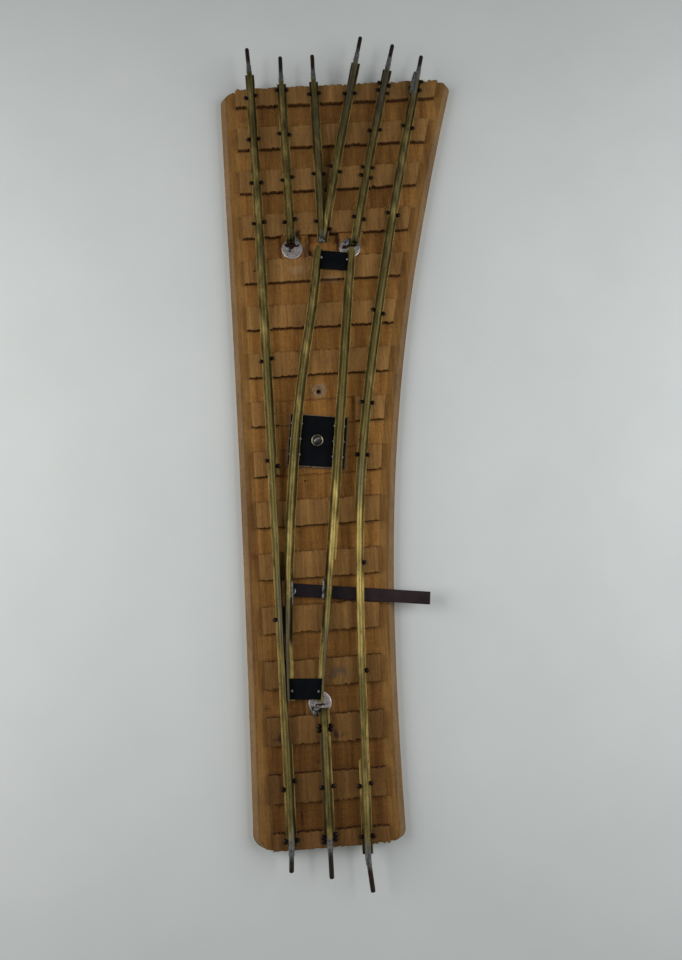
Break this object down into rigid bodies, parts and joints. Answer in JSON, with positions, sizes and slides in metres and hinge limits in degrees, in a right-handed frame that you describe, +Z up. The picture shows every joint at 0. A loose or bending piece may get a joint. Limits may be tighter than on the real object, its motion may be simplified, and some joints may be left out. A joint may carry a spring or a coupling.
{
  "type": "model railway turnout",
  "caption": "Hand-thrown route switch for three-rail gauge 0 tinplate track, with two swinging rails pivoted on a milled wooden roadbed.",
  "frame": {"origin": "where the axis of the pivot screw meets the underside of the roadbed", "axes": "+Y along the straight route, from the single-track end to the two-track end; +X towards the diverging side; +Z up"},
  "size_m": [0.1296, 0.4359, 0.0145],
  "materials": {
    "pine": "worn, planed and milled, unvarnished",
    "aged_brass": "tarnished olive brown with brighter rubbed edges",
    "pin_steel": "dark steel with thin rust and solder at the root",
    "blued_steel": "near-black blued steel",
    "tinned_steel": "worn tin plate",
    "black_fibre": "black vulcanised fibre, slightly sheened",
    "brown_fibre": "dark purple-brown vulcanised fibre",
    "grey_card": "thin matt card",
    "eyelet_nickel": "tarnished nickel plate"
  },
  "bodies": {
    "track_base": {"roadbed": "pine", "left_stock_rail": "aged_brass", "right_stock_rail": "aged_brass", "entry_centre_rail": "aged_brass", "straight_centre_rail": "aged_brass", "diverging_centre_rail": "aged_brass", "straight_frog_rail": "aged_brass", "diverging_frog_rail": "aged_brass", "entry_left_pin": "pin_steel", "entry_centre_pin": "pin_steel", "entry_right_pin": "pin_steel", "straight_left_pin": "pin_steel", "straight_centre_pin": "pin_steel", "straight_right_pin": "pin_steel", "diverging_left_pin": "pin_steel", "diverging_centre_pin": "pin_steel", "diverging_right_pin": "pin_steel", "straight_heel_tack": "tinned_steel", "diverging_heel_tack": "tinned_steel", "toe_tack": "tinned_steel", "pivot_screw": "blued_steel", "left_stock_nail_1": "blued_steel", "left_stock_nail_2": "blued_steel", "left_stock_nail_3": "blued_steel", "left_stock_nail_4": "blued_steel", "left_stock_nail_5": "blued_steel", "right_stock_nail_1": "blued_steel", "right_stock_nail_2": "blued_steel", "right_stock_nail_3": "blued_steel", "right_stock_nail_4": "blued_steel", "right_stock_nail_5": "blued_steel", "right_stock_nail_6": "blued_steel", "entry_centre_nail_1": "blued_steel", "entry_centre_nail_2": "blued_steel", "straight_centre_nail_1": "blued_steel", "straight_centre_nail_2": "blued_steel", "diverging_centre_nail_1": "blued_steel", "diverging_centre_nail_2": "blued_steel", "straight_frog_nail_1": "blued_steel", "straight_frog_nail_2": "blued_steel", "diverging_frog_nail_1": "blued_steel", "diverging_frog_nail_2": "blued_steel"},
    "swing_section": {"left_swing_rail": "aged_brass", "right_swing_rail": "aged_brass", "pivot_plate": "black_fibre", "pivot_packing_card": "grey_card", "pivot_eyelet": "eyelet_nickel", "left_rail_clip_1": "aged_brass", "left_rail_clip_2": "aged_brass", "left_rail_clip_3": "aged_brass", "right_rail_clip_1": "aged_brass", "right_rail_clip_2": "aged_brass", "right_rail_clip_3": "aged_brass", "toe_tie_plate": "black_fibre", "heel_tie_plate": "black_fibre", "toe_rivet_left": "tinned_steel", "toe_rivet_right": "tinned_steel", "heel_rivet_left": "tinned_steel", "heel_rivet_right": "tinned_steel", "throw_bar": "brown_fibre"}
  },
  "joints": [
    {"name": "points_swing", "type": "hinge", "parent": "track_base", "child": "swing_section", "pos_m": [0, 0, 0.0098], "axis": [0, 0, 1], "range_deg": [0, 7.5]}
  ]
}
